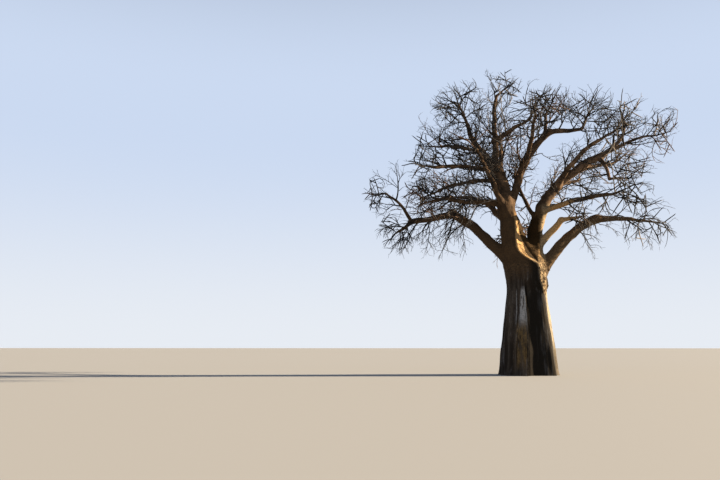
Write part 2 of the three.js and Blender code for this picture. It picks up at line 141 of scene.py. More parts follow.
# the limb whose tip it grows from, heading, rise, reach, seed, how far apart its fine twigs stand
massRows = [
    ("leader_left", 228, 66, 2.6, 187, 0.5),
    ("leader_top", 5, 36, 1.75, 372, 1.0),
    ("bough_crown_mid", 310, 40, 2.1, 185, 1.6),
    ("bough_left_high", 205, 6, 1.9, 82, 1.6),
    ("bough_left_mid", 155, -10, 2.3, 47, 0.8),
    ("bough_left_cross", 225, -6, 2.4, 9, 0.8),
    ("bough_left_outer", 196, -42, 2.2, 43, 0.6),
    ("bough_left_tip", 190, -12, 1.65, 198, 0.3),
    ("bough_left_shoulder", 170, 16, 1.95, 228, 1.7),
    ("bough_centre_up", 40, 62, 2.0, 148, 1.1),
    ("bough_centre_right", 345, 56, 2.5, 277, 0.8),
    ("bough_right_top", 95, 58, 2.1, 1, 1.6),
    ("bough_right_far", 3, 8, 2.4, 230, 1.2),
    ("bough_right_drop", 335, -6, 2.4, 237, 1.6),
    ("bough_right_mid", 312, -4, 2.5, 50, 1.3),
    ("bough_right_outer", 5, -4, 2.6, 226, 1.6),
    ("bough_right_inner", 60, 46, 2.1, 3, 1.2),
    ("stub_right", 335, 12, 2.0, 229, 1.6),
    ("bough_back_low", 90, 8, 2.7, 7, 1.6),
    ("bough_back_left", 134, 10, 2.8, 266, 0.9),
    ("bough_back_right", 55, 14, 2.8, 103, 1.6),
    ("bough_back_high", 96, 30, 2.6, 40, 1.6),
    ("bough_back_far_right", 36, 12, 2.6, 196, 1.6),
    ("bough_front_left", 262, 14, 2.6, 48, 1.1),
    ("bough_front_mid", 275, 18, 2.5, 102, 1.6),
    ("bough_front_right", 312, 14, 2.6, 400, 1.6),
]
shortNames = {"leader_top": "top", "stub_right": "stub"}    # the other masses' names follow the limbs'

twigLevels = [
    {"length": 0.85, "bends": 3, "children": 7, "from": 0.12, "until": 0.9},
    {"length": 0.66, "bends": 2, "children": 3, "from": 0.35, "until": 0.82},
    {"length": 0.4, "bends": 1, "children": 0},
]
twigRule = {
    "stem": 0.9, "spread": 58, "spreadRange": 24, "roll": 137.5, "rollRange": 40,
    "wander": 0.16, "droop": 0.14, "lengthRange": 0.35, "taper": 0.6, "thinning": 0.45,
    "ballCentre": 0.38, "ballRadius": 0.78, "margin": 0.09, "upright": 0.05,
}
seedRule = {"times": 1664525, "plus": 1013904223, "wrap": 2 ** 32, "childTimes": 2654435761, "childPlus": 97}


def direction(heading, rise):
    flat = math.cos(math.radians(rise))
    turn = math.radians(heading)
    return np.array([flat * math.cos(turn), flat * math.sin(turn), math.sin(math.radians(rise))])


# the smooth value at a share of the way through a start, a middle and an end value
def through(values, share):
    start, middle, end = values
    return (start * (1 - share) * (1 - 2 * share) + middle * 4 * share * (1 - share)
            + end * share * (2 * share - 1))


def unit(vectors):
    size = np.linalg.norm(vectors, axis=-1, keepdims=True)
    return vectors / np.maximum(size, tiny)


# vectors turned about their axes, both as rows
def turned(vectors, axes, degrees):
    angle = np.radians(degrees)[..., None]
    along = np.sum(axes * vectors, axis=-1, keepdims=True)
    return (vectors * np.cos(angle) + np.cross(axes, vectors) * np.sin(angle)
            + axes * along * (1 - np.cos(angle)))


def alongPath(points, share):
    spot = share * (len(points) - 1)
    row = min(int(spot), len(points) - 2)
    way = points[row + 1] - points[row]
    return points[row] + way * (spot - row), unit(way)


# points on a smooth curve through a path's points, and each one's share of the length
def smoothPath(points, steps):
    shares = np.linspace(0, 1, steps + 1)
    spots = shares * (len(points) - 1)
    rows = np.minimum(spots.astype(int), len(points) - 2)
    t = (spots - rows)[:, None]
    padded = np.vstack([2 * points[0] - points[1], points, 2 * points[-1] - points[-2]])
    a, b, c, d = padded[rows], padded[rows + 1], padded[rows + 2], padded[rows + 3]
    curve = 0.5 * (2 * b + (c - a) * t + (2 * a - 5 * b + 4 * c - d) * t ** 2
                   + (3 * b - a - 3 * c + d) * t ** 3)
    return curve, shares


def limbRadius(limb, share):
    foot, tip = limb["radius"]
    outside = np.maximum(0, share * limb["length"] - limb["hidden"])
    even = foot + (tip - foot) * share
    return even * (1 + collar["swell"] * np.exp(-outside / (collar["reach"] * foot)))


def layLimbs():
    byName = {}
    for name, parentName, at, length, radius, headings, rises in limbRows:
        limb = {"name": name, "parent": parentName, "at": at, "length": length, "radius": radius}
        if parentName == "trunk":
            start = np.array([trunk["lean"] * at / trunk["top"], 0, at])
            limb["hidden"] = trunk["waistRadius"]
        else:
            parent = byName[parentName]
            start = alongPath(parent["points"], at)[0]
            limb["hidden"] = limbRadius(parent, at)
        rows = max(3, math.floor(length / ringSpacing + 0.5))
        points = [start]
        for row in range(rows):
            share = (row + 0.5) / rows
            way = direction(through(headings, share), through(rises, share))
            points.append(points[row] + way * length / rows)
        limb["points"] = np.array(points)
        byName[name] = limb
    return byName


limbs = layLimbs()
masses = []
for limbName, heading, rise, reach, seed, spacing in massRows:
    start = limbs[limbName]["points"][-1]
    way = direction(heading, rise)
    masses.append({
        "name": "twigs_" + shortNames.get(limbName, limbName.removeprefix("bough_")), "limb": limbName,
        "way": way, "reach": reach, "seed": seed, "start": start, "spacing": spacing,
        "stem": limbs[limbName]["radius"][1] * twigRule["stem"],
        "centre": start + way * twigRule["ballCentre"] * reach,
    })
massCentres = np.array([mass["centre"] for mass in masses])
massReaches = np.array([mass["reach"] for mass in masses])

# straight stretches of every limb and of the trunk, with their radii, that coarse twigs keep off
stretchFrom, stretchTo, stretchRadius = [], [], []
for limb in limbs.values():
    rows = len(limb["points"]) - 1
    for row in range(rows):
        stretchFrom.append(limb["points"][row])
        stretchTo.append(limb["points"][row + 1])
        stretchRadius.append(limbRadius(limb, row / rows))
stretchFrom.append(np.zeros(3))
stretchTo.append(np.array([0, 0, trunk["top"]]))
stretchRadius.append(trunk["forkRadius"])
stretchFrom, stretchTo, stretchRadius = map(np.array, (stretchFrom, stretchTo, stretchRadius))


# the least distances from one straight stretch to every stretch of the limbs
def distancesToLimbs(start, end):
    u, v, w = end - start, stretchTo - stretchFrom, start - stretchFrom
    uu, uv, vv = u @ u, v @ u, np.sum(v * v, axis=1)
    uw, vw = w @ u, np.sum(v * w, axis=1)
    cross = uu * vv - uv * uv
    steep = cross > tiny * uu * vv
    s = np.where(steep, np.clip((uv * vw - vv * uw) / np.where(steep, cross, 1), 0, 1), 0)
    t = np.clip((uv * s + vw) / vv, 0, 1)
    s = np.clip((uv * t - uw) / uu, 0, 1)
    return np.linalg.norm(w + s[:, None] * u - t[:, None] * v, axis=1)


def inSpace(mass, point):
    own = np.linalg.norm(point - mass["centre"])
    if own > twigRule["ballRadius"] * mass["reach"]:
        return False
    share = (own + twigRule["margin"]) / mass["reach"]
    others = np.linalg.norm(point - massCentres, axis=1) / massReaches
    others[masses.index(mass)] = huge
    return bool(np.all(share < others))


# a repeatable row of numbers from 0 to 1, the same row as the source's
def seededRow(seed):
    state = seed % seedRule["wrap"]
    while True:
        state = (state * seedRule["times"] + seedRule["plus"]) % seedRule["wrap"]
        yield state / seedRule["wrap"]


def twigRadius(foot, share):
    return foot * (1 - share) ** twigRule["taper"]


# one coarse twig's bends and then its children's, in the order in which the source draws its numbers
def growTwig(mass, level, seed, start, way, foot, twigs, spray):
    rule = twigLevels[level]
    row = seededRow(seed)
    centred = lambda: next(row) * 2 - 1
    length = mass["reach"] * rule["length"] * (1 + twigRule["lengthRange"] * centred())
    points = [start]
    heading = way.copy()
    for bend in range(rule["bends"]):
        heading[0] += twigRule["wander"] * centred()
        heading[1] += twigRule["wander"] * centred()
        heading[2] += twigRule["wander"] * centred() - (twigRule["droop"] if level > 0 else 0)
        heading = unit(heading)
        points.append(points[bend] + heading * length / rule["bends"])
    for bend in range(rule["bends"]):
        if not inSpace(mass, points[bend + 1]):
            return
        clear = distancesToLimbs(points[bend], points[bend + 1]) > stretchRadius + foot
        if level + bend > 0 and not np.all(clear):
            return
    points = np.array(points)
    twigs.append({"points": points, "foot": foot, "level": level, "spray": spray, "length": length})
    roll = 360 * next(row)
    for child in range(rule["children"]):
        share = rule["from"] + (rule["until"] - rule["from"]) * (child / (rule["children"] - 1))
        point, along = alongPath(points, share)
        spread = twigRule["spread"] + twigRule["spreadRange"] * centred()
        roll += twigRule["roll"] + twigRule["rollRange"] * centred()
        side = np.array([-along[1], along[0], 0])
        if np.linalg.norm(side) < twigRule["upright"]:
            side = np.array([1.0, 0, 0])
        side = turned(unit(side), along, roll)
        off = turned(along, side, spread)
        thin = twigRule["thinning"] * twigRadius(foot, share)
        childSeed = (seed ^ (child + 1)) * seedRule["childTimes"] + seedRule["childPlus"]
        childSeed %= seedRule["wrap"]
        growTwig(mass, level + 1, childSeed, point, off, thin, twigs, child if level == 0 else spray)


for mass in masses:
    mass["twigs"] = []
    growTwig(mass, 0, mass["seed"], mass["start"], mass["way"], mass["stem"], mass["twigs"], -1)
print("grew", sum(len(mass["twigs"]) for mass in masses), "coarse twigs by the source's rule")

# Small crooks in every bough, the same for all that grow at one place, and none low on the trunk

crooks = {
    "wide": 0.11, "every": 1.5, "small": 0.045, "smallEvery": 0.6, "smallShift": (31, 7, 3),
    "from": 5.2, "full": 8.2, "seed": 3, "inside": 0.02,
}
noise.seed_set(crooks["seed"])


# the low and high corner of the CAD model's box, drawn in by a margin
def innerBox(margin):
    return np.array(cadLow) + margin, np.array(cadHigh) - margin


def crooked(points):
    flat = points.reshape(-1, 3)
    moved = flat.copy()
    for index, point in enumerate(flat):
        full = min(max((point[2] - crooks["from"]) / (crooks["full"] - crooks["from"]), 0), 1)
        if full > 0:
            wide = noise.noise_vector(Vector(point) / crooks["every"])
            small = noise.noise_vector(Vector(point) / crooks["smallEvery"] + Vector(crooks["smallShift"]))
            moved[index] += full * (crooks["wide"] * np.array(wide) + crooks["small"] * np.array(small))
    return np.clip(moved, *innerBox(crooks["inside"])).reshape(points.shape)


# Meshes from arrays

# many tubes at once: points is (tubes, rows, 3) and radii (tubes, rows). A tube whose last radius
# is 0 ends in a point. Returns the corners, the triangles and the tube that each triangle is on.
def tubes(points, radii, sides, capped=False):
    count, rows = radii.shape
    ways = np.empty_like(points)
    ways[:, 1:-1] = points[:, 2:] - points[:, :-2]
    ways[:, 0] = points[:, 1] - points[:, 0]
    ways[:, -1] = points[:, -1] - points[:, -2]
    ways = unit(ways)
    least = np.eye(3)[np.argmin(np.abs(ways.mean(axis=1)), axis=1)]
    first = unit(np.cross(ways, least[:, None, :]))
    second = np.cross(ways, first)
    turn = np.arange(sides) * 2 * math.pi / sides
    ring = (first[:, :, None, :] * np.cos(turn)[:, None] + second[:, :, None, :] * np.sin(turn)[:, None])
    corners = points[:, :, None, :] + ring * radii[:, :, None, None]
    pointed = bool(np.all(radii[:, -1] == 0))
    fullRows = rows - 1 if pointed else rows
    body = corners[:, :fullRows].reshape(count, -1, 3)
    extra = []
    if pointed or capped:
        extra.append(points[:, -1:])
    if capped:
        extra.append(points[:, :1])
    each = body.shape[1] + len(extra)
    allCorners = np.concatenate([body] + extra, axis=1).reshape(-1, 3)
    here = np.arange(sides)
    there = (here + 1) % sides
    faces = []
    for row in range(fullRows - 1):
        a, b = row * sides + here, row * sides + there
        faces.append(np.stack([a, b, b + sides], axis=1))
        faces.append(np.stack([a, b + sides, a + sides], axis=1))
    last = (fullRows - 1) * sides
    if pointed or capped:
        faces.append(np.stack([last + here, last + there, np.full(sides, body.shape[1])], axis=1))
    if capped:
        faces.append(np.stack([there, here, np.full(sides, each - 1)], axis=1))
    faces = np.concatenate(faces)
    allFaces = (faces[None] + (np.arange(count) * each)[:, None, None]).reshape(-1, 3)
    return allCorners, allFaces, np.repeat(np.arange(count), len(faces))


def meshOf(name, corners, faces, finishes=None):
    mesh = bpy.data.meshes.new(name)
    mesh.vertices.add(len(corners))
    mesh.vertices.foreach_set("co", np.ascontiguousarray(corners, np.float32).ravel())
    mesh.loops.add(faces.size)
    mesh.loops.foreach_set("vertex_index", np.ascontiguousarray(faces, np.int32).ravel())
    mesh.polygons.add(len(faces))
    mesh.polygons.foreach_set("loop_start", np.arange(0, faces.size, 3, dtype=np.int32))
    if finishes is not None:
        mesh.polygons.foreach_set("material_index", finishes.astype(np.int32))
    mesh.update(calc_edges=True)
    mesh.shade_smooth()
    return mesh


def addPiece(name, mesh, nodes, materials):
    piece = linked(name, mesh)
    for material in materials:
        mesh.materials.append(material)
    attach(piece, "root")
    if nodes:
        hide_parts(*nodes)


# Materials

# Wraps a socket of a value, so that sums and products of values write their own Math nodes
class Value:
    def __init__(self, finish, socket):
        self.finish, self.socket = finish, socket

    def math(self, operation, *others):
        sockets = dict(enumerate((self,) + others))
        return self.finish.node("ShaderNodeMath", {"operation": operation}, sockets)

    def __add__(self, other):
        return self.math("ADD", other)

    def __mul__(self, other):
        return self.math("MULTIPLY", other)

    def __sub__(self, other):
        return self.math("SUBTRACT", other)

    def __rsub__(self, other):
        return (self * -1) + other

    def __truediv__(self, other):
        return self.math("DIVIDE", other)

    __radd__ = __add__
    __rmul__ = __mul__

    # 0 at the low value and 1 at the high one, smooth between; low may be the greater. Two more values
    # end a band: where it is 0 again, and up to where it stays at 1.
    def step(self, low, high, *ending):
        settings = {"interpolation_type": "SMOOTHSTEP"}
        risen = self.finish.node("ShaderNodeMapRange", settings, {0: self, 1: low, 2: high})
        return risen * self.step(*ending) if ending else risen

    def most(self, other):
        return self.math("MAXIMUM", other)

    def atLeast(self, least):
        return self * (1 - least) + least

    # a noise, which is about a half, as a sway to both sides
    def sway(self, width):
        return (self - 0.5) * width


# The nodes of a material or of the sky
class Finish:
    def __init__(self, owner):
        owner.use_nodes = True
        self.tree = owner.node_tree
        self.shader = next(n for n in self.tree.nodes if n.type in ("BSDF_PRINCIPLED", "BACKGROUND"))

    # one node of a type, with its settings and then the values or links of its sockets
    def node(self, kind, settings, sockets, output=0):
        made = self.tree.nodes.new(kind)
        for key, value in settings.items():
            if key == "stops":
                ramp = made.color_ramp
                while len(ramp.elements) < len(value):
                    ramp.elements.new(0.5)
                for element, (place, colour) in zip(ramp.elements, value):
                    element.position, element.color = place, (*colour, 1)
            else:
                setattr(made, key, value)
        for key, value in sockets.items():
            self.put(made.inputs[key], value)
        return Value(self, made.outputs[output])

    def put(self, socket, value):
        if isinstance(value, Value):
            self.tree.links.new(value.socket, socket)
        elif isinstance(value, tuple) and len(value) == 3 and socket.type == "RGBA":
            socket.default_value = (*value, 1)
        else:
            socket.default_value = value

    def mix(self, factor, a, b):
        return self.node("ShaderNodeMix", {"data_type": "RGBA"}, {0: factor, 6: a, 7: b}, 2)

    # a noise of one scale, or of a scale for each axis
    def noise(self, place, scale, detail, roughness):
        if isinstance(scale, tuple):
            place = self.node("ShaderNodeVectorMath", {"operation": "MULTIPLY"}, {0: place, 1: scale})
            scale = 1
        return self.node("ShaderNodeTexNoise", {},
                         {"Vector": place, "Scale": scale, "Detail": detail, "Roughness": roughness})

    # how far right a line of heights and reaches stands at a height
    def reachOf(self, line, height):
        heights, reaches = np.array(line).T
        low, width, span = reaches.min(), np.ptp(reaches), heights[-1] - heights[0]
        stops = [((h - heights[0]) / span, ((reach - low) / width,) * 3) for h, reach in line]
        share = (height - heights[0]) / span
        return self.node("ShaderNodeValToRGB", {"stops": stops}, {0: share}) * width + low

    def set(self, **sockets):
        for key, value in sockets.items():
            self.put(self.shader.inputs[key.replace("_", " ")], value)


# Lines on the bark's front, as heights and how far right they stand there. The crest line runs from
# the left stem down the trunk's right side, and right of it the bark is bare and tan. The gap line
# runs from the fork's gap down to the right, and right of it the foot of the right stem is painted dark
# as shade.
crestLine = [(4.5, 1.08), (4.85, 0.95), (5.4, 0.8), (6.1, 0.78), (6.35, 0.68), (6.6, 0.28), (6.85, -0.06),
             (7.1, -0.3), (7.4, -0.42), (7.8, -0.45), (8.4, -0.44), (9.6, -0.5)]
gapLine = [(6.0, 1.0), (6.3, 0.86), (6.65, 0.58), (7.12, 0.26), (7.54, 0.04), (7.8, -0.1), (8.25, -0.24),
           (9.0, -0.34)]
# The fold down the front, in degrees round the trunk: a steep wall that sways a little, and a hollow
# at its right
frontFold = {
    "at": -88, "wall": 3.5, "sway": 2, "pace": 1.1, "middle": 2.8, "hollow": 0.26, "until": -22,
    "back": -68, "top": 5.6, "full": 4.4,
}
# fold and wall are painted shade: fold in the hollow right of the front fold, and wall, almost black, on the
# fold's steep wall
barkColours = {
    "grey": (0.058, 0.047, 0.037), "dark": (0.017, 0.013, 0.01), "fold": (0.0105, 0.0092, 0.0072),
    # shade is a painted shade, laid over the foot of the right stem
    "wall": (0.002, 0.0018, 0.0015), "shade": (0.021, 0.0115, 0.0035), "goldWithPaintedSun": (0.37, 0.235, 0.108),
    "tan": (0.25, 0.187, 0.11), "brown": (0.052, 0.032, 0.017), "copper": (0.1, 0.06, 0.029),
    "pale": (0.31, 0.304, 0.298), "ochre": (0.13, 0.083, 0.034), "bough": (0.13, 0.083, 0.05),
    # a brighter colour for the boughs at the right, painted sunlight
    "paintedSunBoughRight": (0.21, 0.14, 0.09), "line": (0.125, 0.115, 0.112), "faintLine": (0.034, 0.033, 0.033),
    # rim is a painted sunlit rim, laid down the trunk's right side
    "rim": (0.29, 0.25, 0.18),
}
# each noise's scale, or its scale for each axis, its detail and its roughness
barkNoises = {
    "drift": (0.55, 2, 0.55), "mottle": (1.9, 5, 0.62), "fine": (11, 4, 0.6), "pits": (6.5, 2, 0.5),
    "upright": ((3.4, 3.4, 0.35), 4, 0.55), "fibres": ((11, 11, 0.8), 4, 0.65),
    "lines": ((6.5, 6.5, 0.4), 3, 0.6),
}
# each layer's greatest share and its colour
barkLayers = {
    "fibre": (0.55, "brown"), "line": (0.6, "line"), "darkLine": (0.7, "dark"), "speck": (0.8, "brown"),
    "pit": (0.75, "copper"), "deepPit": (0.8, "dark"), "gap": (0.95, "shade"), "wall": (1, "wall"),
    "pale": (0.85, "pale"), "thin": (0.45, "pale"), "ochre": (0.8, "ochre"), "streak": (0.25, "pale"),
    "rim": (0.8, "rim"), "fine": (0.35, "dark"),
}
# on which values of a place each mask shows, where it begins there and where it is full, in metres, in
# degrees or in a noise's own value; two more say where it has gone and up to where it stays full
barkMasks = {
    "grey": {"upright": (0.36, 0.66)}, "fibre": {"fibres": (0.5, 0.75)}, "line": {"lines": (0.56, 0.68)},
    "darkLine": {"lines": (0.44, 0.34)}, "fine": {"fine": (0.62, 0.38)}, "copper": {"mottle": (0.3, 0.72)},
    "upper": {"height": (4.9, 6.6)}, "bough": {"height": (9.0, 11.5)}, "paintedSunBoughRight": {"x": (1.0, 3.5)},
    "boughLight": {"mottle": (0.35, 0.7)}, "front": {"y": (0.2, -0.3)}, "rightSide": {"x": (0.85, 1.05)},
    "bare": {"overCrest": (-0.04, 0.08), "frayed": (4.2, 5.0)}, "strands": {"y": (-0.6, 0.4)},
    "bareTop": {"z": (9.7, 8.8)}, "bareStem": {"x": (1.0, 1.3, 3.0, 2.6), "z": (10.3, 9.8)},
    # the low bough at the right, where shade is painted by keeping the bark brown
    "leftOfBough": {"x": (1.35, 1.15)}, "overBough": {"overBough": (5.9, 6.3)},
    # the flank and the stub, where the bare bark's tan is brightened to gold as painted sunlight
    "goldWithPaintedSun": {"z": (6.2, 7.0)}, "goldLeft": {"x": (0.7, 0.3)}, "goldFront": {"y": (0.2, -0.1)},
    "speck": {"fine": (0.5, 0.36), "mottle": (0.6, 0.4)}, "pit": {"pits": (0.53, 0.44), "z": (6.7, 6.2)},
    "deepPit": {"pits": (0.44, 0.36), "z": (6.8, 6.2)},
    # the foot of the right stem, where shade is painted
    "gap": {"overGap": (0, 0.08), "z": (6.1, 6.3, 9.8, 9.0), "gapSlant": (0.92, 0.72)},
    # the hollow right of the front fold, where shade is painted
    "byFold": {"fromFold": (-2, -0.5)}, "underFork": {"z": (5.6, 4.2)}, "recessShade": {"flared": (-12, -20)},
    "overFold": {"wavy": (-86, -62), "z": (7.1, 6.6)}, "recessFoot": {"z": (3.6, 1.4)},
    "faintLine": {"lines": (0.5, 0.62), "wavy": (-66, -48)},
    # the fold's steep wall, painted almost black as shade
    "wall": {"fromFold": (-1.5, -0.5, 6, 4.5), "z": (5.4, 4.8)},
    "pale": {"paleSlant": (-112, -107), "fromFold": (-0.5, -2), "z": (2.4, 3.4, 5.15, 4.7),
             "fibres": (0.36, 0.5)},
    "thin": {"thinTurn": (-116.5, -115, -112, -113.5), "z": (2.6, 3.4, 5.0, 4.6)},
    "ochre": {"wavy": (-117, -109), "fromFold": (-1.5, -4), "z": (0.2, 0.9, 3.3, 2.5),
              "fibres": (0.36, 0.56)},
    "streak": {"fibres": (0.6, 0.72), "z": (5.4, 3.6), "mottle": (0.4, 0.6)},
    # the trunk's right side, where a sunlit rim is painted, weaker at the foot
    "rim": {"wavy": (-12, -6, 60, 0), "z": (5.4, 4.6), "fibres": (0.3, 0.5)}, "rimFoot": {"z": (0.8, 2.8)},
}
# how far the noises sway the masks' edges, how some edges slant, and what one mask leaves of another
barkSet = {
    "heightSway": 2.2, "crestSway": 0.12, "frayedSway": 1.6, "strands": 3, "turnSway": 6, "thinSway": 3,
    "boughSlant": 0.95, "gapFrom": 6.6, "gapSlant": 0.13, "paleFrom": 2.8, "paleSlant": 4, "flare": 13,
    "shadedBoughBare": 0.15, "paintedFrontShade": 0.7, "goldSpecks": 0.625, "boughLight": 0.15, "boughOnBare": 0.8,
    "recessShade": 0.97, "recessStreaks": 0.9, "rimFoot": 0.2, "rough": 0.78, "roughRange": 0.2,
    "specular": 0.03, "bump": 0.6, "bumpDepth": 0.06,
    "lumps": {"upright": 0.5, "fibres": 0.35, "fine": 0.25, "mottle": 0.3},
}


# a mask at a place on the bark
def shows(at, mask):
    return math.prod(at[key].step(*edges) for key, edges in barkMasks[mask].items())


# a layer over the colour under it, or only a part of the layer
def laid(under, at, layer, part=1):
    share, colour = barkLayers[layer]
    mask = shows(at, layer) * share * part
    return mask.finish.mix(mask, under, barkColours[colour])


# a place on the bark: its position, the noises, the turn round the trunk in degrees, and how far it is
# past the lines that the masks follow
def barkPlace(bark):
    place = bark.node("ShaderNodeTexCoord", {}, {}, 3)
    at = {key: bark.node("ShaderNodeSeparateXYZ", {}, {0: place}, axis) for axis, key in enumerate("xyz")}
    for name, (scale, detail, roughness) in barkNoises.items():
        at[name] = bark.noise(place, scale, detail, roughness)
    x, y, z, drift, upright = (at[key] for key in ("x", "y", "z", "drift", "upright"))
    turn = y.math("ARCTAN2", x) * (180 / math.pi)
    wavy = turn + upright.sway(barkSet["turnSway"])
    sway = ((z - frontFold["middle"]) * frontFold["pace"]).math("COSINE") * frontFold["sway"]
    strands = shows(at, "strands") * upright.sway(barkSet["strands"])
    return at | {
        "height": z + drift.sway(barkSet["heightSway"]),
        "overCrest": x - bark.reachOf(crestLine, z) + at["mottle"].sway(barkSet["crestSway"]),
        "frayed": z + drift.sway(barkSet["frayedSway"]) + strands,
        "overBough": z - x * barkSet["boughSlant"],
        "overGap": x - bark.reachOf(gapLine, z),
        "gapSlant": x - (z - barkSet["gapFrom"]) * barkSet["gapSlant"],
        "wavy": wavy,
        "fromFold": turn - sway - frontFold["at"],
        "flared": wavy - shows(at, "recessFoot") * barkSet["flare"],
        "paleSlant": wavy - (z - barkSet["paleFrom"]) * barkSet["paleSlant"],
        "thinTurn": turn + upright * barkSet["thinSway"],
    }


def lowerBark(bark, at):
    colour = bark.mix(shows(at, "grey"), barkColours["dark"], barkColours["grey"])
    for layer in ("fibre", "line", "darkLine"):
        colour = laid(colour, at, layer)
    return colour


# where the bark is bare, right of the crest line; the low bough at the right keeps little of it and
# stays browner than the trunk's side and the stub above it, as painted shade
def bareHere(at):
    bare = shows(at, "bare") * shows(at, "bareTop").most(shows(at, "bareStem"))
    return bare * shows(at, "leftOfBough").most(shows(at, "overBough").atLeast(barkSet["shadedBoughBare"]))


# brown bark, painted browner on the front as shade, or bare bark whose tan is brightened to gold on
# the flank and on the stub as painted sunlight, with specks and pits, and painted shade over the foot of
# the right stem
def upperBark(bark, at, bareFront, front):
    colour = bark.mix(shows(at, "copper"), barkColours["brown"], barkColours["copper"])
    # painted shade: bark facing the front, and the right side, turns browner, and stays so where it isn't
    # bare
    colour = bark.mix(front * barkSet["paintedFrontShade"], colour, barkColours["brown"])
    # painted sunlight: the bare bark's tan brightened to gold on the flank and on the stub
    paintedSunOnBare = shows(at, "goldWithPaintedSun") * shows(at, "goldLeft").most(shows(at, "goldFront"))
    colour = bark.mix(bareFront, colour, bark.mix(paintedSunOnBare, barkColours["tan"], barkColours["goldWithPaintedSun"]))
    colour = laid(colour, at, "speck", 1 - paintedSunOnBare * barkSet["goldSpecks"])
    for layer in ("pit", "deepPit", "gap"):
        colour = laid(colour, at, layer)
    return colour


# down the trunk's front, over the colour under it: painted shade in the hollow right of the deep fold
# and, almost black, on the fold's wall, and pale and ochre streaks at its left; then grey streaks all
# round, and a painted sunlit rim down the right side
def frontBark(bark, at, colour, bare):
    # painted shade in the hollow right of the front fold, with faint grey lines in it
    recessShade = shows(at, "byFold").math("MINIMUM", shows(at, "underFork")).most(shows(at, "overFold"))
    recessShade = recessShade * shows(at, "recessShade") * (1 - bare)
    paintedRecessShade = bark.mix(shows(at, "faintLine"), barkColours["fold"], barkColours["faintLine"])
    colour = bark.mix(recessShade * barkSet["recessShade"], colour, paintedRecessShade)
    for layer in ("wall", "pale", "thin", "ochre"):
        colour = laid(colour, at, layer)
    colour = laid(colour, at, "streak", 1 - recessShade * barkSet["recessStreaks"])
    # painted highlight: a sunlit rim down the right side, weaker at the foot
    return laid(colour, at, "rim", shows(at, "rimFoot").atLeast(barkSet["rimFoot"]))


def makeBark():
    material = bpy.data.materials.new("baobabBark")
    bark = Finish(material)
    at = barkPlace(bark)
    front = shows(at, "front").most(shows(at, "rightSide"))
    bare = bareHere(at)
    upper = upperBark(bark, at, bare * front, front)
    colour = bark.mix(shows(at, "upper"), lowerBark(bark, at), upper)
    colour = bark.mix(bare * front, colour, upper)
    # the boughs turn brighter towards the right, as painted sunlight
    boughLook = bark.mix(shows(at, "paintedSunBoughRight"), barkColours["bough"], barkColours["paintedSunBoughRight"])
    light = shows(at, "boughLight").atLeast(barkSet["boughLight"])
    bough = bark.mix(light, barkColours["dark"], boughLook)
    colour = bark.mix(shows(at, "bough") * (1 - bare * barkSet["boughOnBare"]), colour, bough)
    colour = laid(frontBark(bark, at, colour, bare), at, "fine")
    lumps = sum(at[name] * share for name, share in barkSet["lumps"].items())
    sockets = {"Strength": barkSet["bump"], "Distance": barkSet["bumpDepth"], "Height": lumps}
    bark.set(Base_Color=colour, Roughness=at["mottle"] * barkSet["roughRange"] + barkSet["rough"],
             Normal=bark.node("ShaderNodeBump", {}, sockets), Specular_IOR_Level=barkSet["specular"])
    return material


# the twigs' shades, in how many sprays they are dealt out, and how often each comes
twigLook = {
    "dark": (0.014, 0.0125, 0.012), "grey": (0.034, 0.03, 0.027), "copper": (0.08, 0.047, 0.028),
    "pale": (0.15, 0.13, 0.11), "roughness": 0.85, "specular": 0.15,
    "sprays": 400, "often": {"dark": 0.66, "grey": 0.2, "copper": 0.08, "pale": 0.06},
}


def makeTwigFinishes():
    made = []
    for shade in twigLook["often"]:
        made.append(bpy.data.materials.new("twigBark" + shade.capitalize()))
        Finish(made[-1]).set(Base_Color=twigLook[shade], Roughness=twigLook["roughness"],
                             Specular_IOR_Level=twigLook["specular"])
    return made


barkMaterial = makeBark()
twigMaterials = makeTwigFinishes()
print("made the materials")

# The wood: trunk and boughs as one skin, from a remeshed rough body drawn onto smooth forks

wood = {
    "voxel": 0.042, "pathStep": 0.2, "below": 0.3, "blendShare": 0.75, "blendLeast": 0.06, "blendMost": 0.34,
    "lidTop": 7.3, "lidFall": 0.62, "lidBlend": 0.5, "lidSlope": 0.8, "tipChild": 0.9, "endSwell": 0.3,
    "stemEnd": 0.045, "stemSteps": 16, "stemSwell": 1.03, "flankSteps": 12, "around": 0.5,
    "columnRows": 30, "columnSides": 48, "limbSides": 12, "draws": 3, "farthestDraw": 0.12,
    "cutReach": 1e-5, "leftUntil": 0.6,
}
# the trunk's front runs up into the left stem, over the foot of the right one, in two folds
flanks = [
    {"path": [(0.8, -0.42, 5.3), (0.42, -0.42, 6.3), (-0.22, -0.4, 7.1), (-0.56, -0.34, 7.8),
              (-0.7, -0.25, 8.7)], "girth": (0.52, 0.55, 0.54, 0.48, 0.4), "blend": 0.35},
    {"path": [(0.4, -0.2, 6.3), (0.06, -0.12, 7.0), (-0.22, -0.02, 7.7), (-0.42, 0.05, 8.3),
              (-0.58, 0.05, 8.9)], "girth": (0.5, 0.5, 0.47, 0.44, 0.4), "blend": 0.35},
]
relief = {
    "flutes": 0.07, "ribs": 0.03, "lumps": 0.05, "wrinkles": 0.02, "knobs": 0.08,
    "boughLumps": 0.16, "boughGrain": 0.05,
    "upperFlutes": 0.3, "upperRibs": 0.25, "foldSmooth": 0.8, "knobsFrom": 0.15,
}
# how often each form's noise repeats in a metre, along all axes or along each, and how far it is shifted
reliefNoises = {
    "flutes": ((3.1, 3.1, 0.16), 5), "ribs": ((11, 11, 0.45), 17), "lumps": ((1.3, 1.3, 0.9), 29),
    "wrinkles": ((1.1, 1.1, 5.5), 41), "knobs": (4.6, 53), "boughLumps": (1.7, 67), "boughGrain": (5.2, 71),
}
